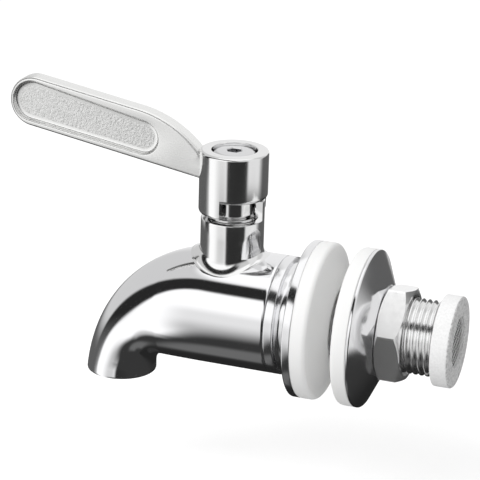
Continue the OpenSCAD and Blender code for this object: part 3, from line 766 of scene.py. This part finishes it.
def light_path(tree):
    """One for rays from the camera, off glossy surfaces and through clear ones, and nought for the rest."""
    path = tree.nodes.new("ShaderNodeLightPath")
    total = path.outputs["Is Camera Ray"]
    for name in ("Is Glossy Ray", "Is Transmission Ray"):
        add = tree.nodes.new("ShaderNodeMath")
        add.operation = "MAXIMUM"
        tree.links.new(total, add.inputs[0])
        tree.links.new(path.outputs[name], add.inputs[1])
        total = add.outputs["Value"]
    return total


def stage(name, verts, faces, material):
    """A mesh object from points in millimetres that is part of the studio and not of the spigot."""
    mesh = bpy.data.meshes.new(name)
    mesh.from_pydata([tuple(Vector(v) * MM) for v in verts], [], faces)
    mesh.materials.append(material)
    piece = bpy.data.objects.new(name, mesh)
    scene.collection.objects.link(piece)
    return piece


def step(value, edge, change):
    """Nought below the edge and one above it, with a soft change of that width between."""
    t = min(1.0, max(0.0, (value - edge) / change + 0.5))
    return t * t * (3 - 2 * t)


def between(value, start, stop, change):
    return step(value, start, change) * (1 - step(value, stop, change))


def mixed(a, b, share):
    return a + (b - a) * share


def along_line(value, pairs):
    """Straight lines through pairs of place and height."""
    for (x0, y0), (x1, y1) in zip(pairs, pairs[1:]):
        if value <= x1:
            return y0 + (y1 - y0) * max(0.0, value - x0) / (x1 - x0)
    return pairs[-1][1]


def room_grey(turn, rise):
    """What polished steel sees in one direction: turn is from -Y towards +X, rise above level."""
    grey = mixed(0.66, 0.9, step(abs(turn), 150, 16))
    grey = mixed(grey, 1.12, step(rise, 60, 8))
    # Large soft box in front on the left, with a dark frame round it
    reach = math.hypot(turn + 22, rise + 10)
    grey = mixed(grey, 0.022, between(reach, 49, 71, 5) * step(rise, -14, 6) * (1 - step(turn, 25, 30)))
    grey = mixed(grey, 1.15, (1 - step(reach, 49, 5)) * step(rise, -60, 6))
    fade = mixed(0.85, 1.15, step(rise, 6, 16)) * mixed(0.6, 1.0, step(rise, -20, 22))
    grey = mixed(grey, fade, between(turn, -40, -5, 26) * (1 - step(rise, 14, 10)))
    # Dark camera side, and the bright wall to the right of it
    grey = mixed(grey, 0.85, between(turn, 64, 112, 8))
    grey = mixed(grey, 0.03, between(turn, -5, 64, 9) * (1 - step(rise, 15, 30)))
    # Dark things behind on both sides, higher on the right
    height = along_line(turn % 360, ((0, 10), (165, 10), (182, -16), (206, -16), (216, -9), (360, -9)))
    grey = mixed(grey, 0.12, between(turn % 360, 120, 284, 22) * (1 - step(rise, height, 10)))
    # Dark below, nearer to level on the right and behind
    edge = along_line(turn, (
        (-180, -22), (-110, -27), (-78, -40), (-60, -50), (-42, -44), (-20, -33), (0, -28), (50, -20),
        (115, -20), (150, -22), (180, -22),
    ))
    change = along_line(turn, (
        (-180, 10), (-60, 14), (-20, 22), (10, 16), (50, 5), (115, 5), (150, 10), (180, 10),
    ))
    below = 0.02 + 0.02 * step(turn, -115, 50) * (1 - step(turn, 140, 50))
    below = mixed(below, 0.15, between(rise, -76, -61, 9) * between(turn, -105, -15, 30))
    return mixed(below, grey, step(rise, edge, change))


def emission_material():
    """A material that glows with the grey of each point."""
    material = bpy.data.materials.new("room_dome")
    material.use_nodes = True
    tree = material.node_tree
    tree.nodes.clear()
    attribute = tree.nodes.new("ShaderNodeAttribute")
    attribute.attribute_name = "grey"
    shader = tree.nodes.new("ShaderNodeEmission")
    out = tree.nodes.new("ShaderNodeOutputMaterial")
    tree.links.new(attribute.outputs["Color"], shader.inputs["Color"])
    tree.links.new(shader.outputs["Emission"], out.inputs["Surface"])
    material.cycles.emission_sampling = "NONE"
    return material


def room_dome():
    """A dome that shows only in reflections, with a grey at each point."""
    verts, greys, faces = [], [], []
    for i in range(DOME_UP + 1):
        rise = -90 + 180 * i / DOME_UP
        for j in range(DOME_ACROSS):
            turn = -180 + 360 * j / DOME_ACROSS
            a, e = math.radians(turn), math.radians(rise)
            out = DOME_R * math.cos(e)
            verts.append((out * math.sin(a), -out * math.cos(a), DOME_R * math.sin(e)))
            greys.append(room_grey(turn, rise))
    for i in range(DOME_UP):
        for j in range(DOME_ACROSS):
            here, there = i * DOME_ACROSS + j, i * DOME_ACROSS + (j + 1) % DOME_ACROSS
            faces.append((here, there, there + DOME_ACROSS, here + DOME_ACROSS))
    dome = stage("room_dome", verts, faces, emission_material())
    layer = dome.data.color_attributes.new("grey", "FLOAT_COLOR", "POINT")
    layer.data.foreach_set("color", [c for g in greys for c in (g, g, g, 1.0)])
    dome.visible_camera = False
    dome.visible_shadow = False
    dome.visible_diffuse = False


world = bpy.data.worlds.new("room")
scene.world = world
world.use_nodes = True
tree = world.node_tree
tree.nodes.clear()
mix = tree.nodes.new("ShaderNodeMixShader")
for socket, strength in ((1, WORLD_FILL), (2, WORLD_SEEN)):
    background = tree.nodes.new("ShaderNodeBackground")
    background.inputs["Color"].default_value = (1, 1, 1, 1)
    background.inputs["Strength"].default_value = strength
    tree.links.new(background.outputs["Background"], mix.inputs[socket])
out = tree.nodes.new("ShaderNodeOutputWorld")
tree.links.new(light_path(tree), mix.inputs["Fac"])
tree.links.new(mix.outputs["Shader"], out.inputs["Surface"])

# Floor: pale, with the object's shadow, and lifted to white where it is seen
floor_material = bpy.data.materials.new("floor_white")
floor_material.use_nodes = True
tree = floor_material.node_tree
shader = tree.nodes["Principled BSDF"]
shader.inputs["Base Color"].default_value = (FLOOR_GREY, FLOOR_GREY, FLOOR_GREY, 1)
shader.inputs["Roughness"].default_value = 0.9
shader.inputs["Specular IOR Level"].default_value = 0.0
shader.inputs["Emission Color"].default_value = (1, 1, 1, 1)
lift = tree.nodes.new("ShaderNodeMath")
lift.operation = "MULTIPLY"
lift.inputs[1].default_value = FLOOR_LIFT
tree.links.new(light_path(tree), lift.inputs[0])
tree.links.new(lift.outputs["Value"], shader.inputs["Emission Strength"])
corners = [(x * FLOOR_HALF, y * FLOOR_HALF, FLOOR_Z) for x, y in ((-1, -1), (1, -1), (1, 1), (-1, 1))]
floor = stage("floor", corners, [(0, 1, 2, 3)], floor_material)

# Reflections pass through the floor, and the dome's lower half takes its place there
floor.visible_glossy = False
room_dome()

key = bpy.data.lights.new("key", "AREA")
key.shape = "RECTANGLE"
key.size, key.size_y = LAMP_WIDE, LAMP_HIGH
key.energy = LAMP_WATTS
lamp = bpy.data.objects.new("key", key)
scene.collection.objects.link(lamp)
lamp.location = LAMP_PLACE
lamp.visible_glossy = False
lamp.rotation_euler = (LAMP_AIM - LAMP_PLACE).to_track_quat("-Z", "Y").to_euler()

scene.view_settings.view_transform = "Standard"
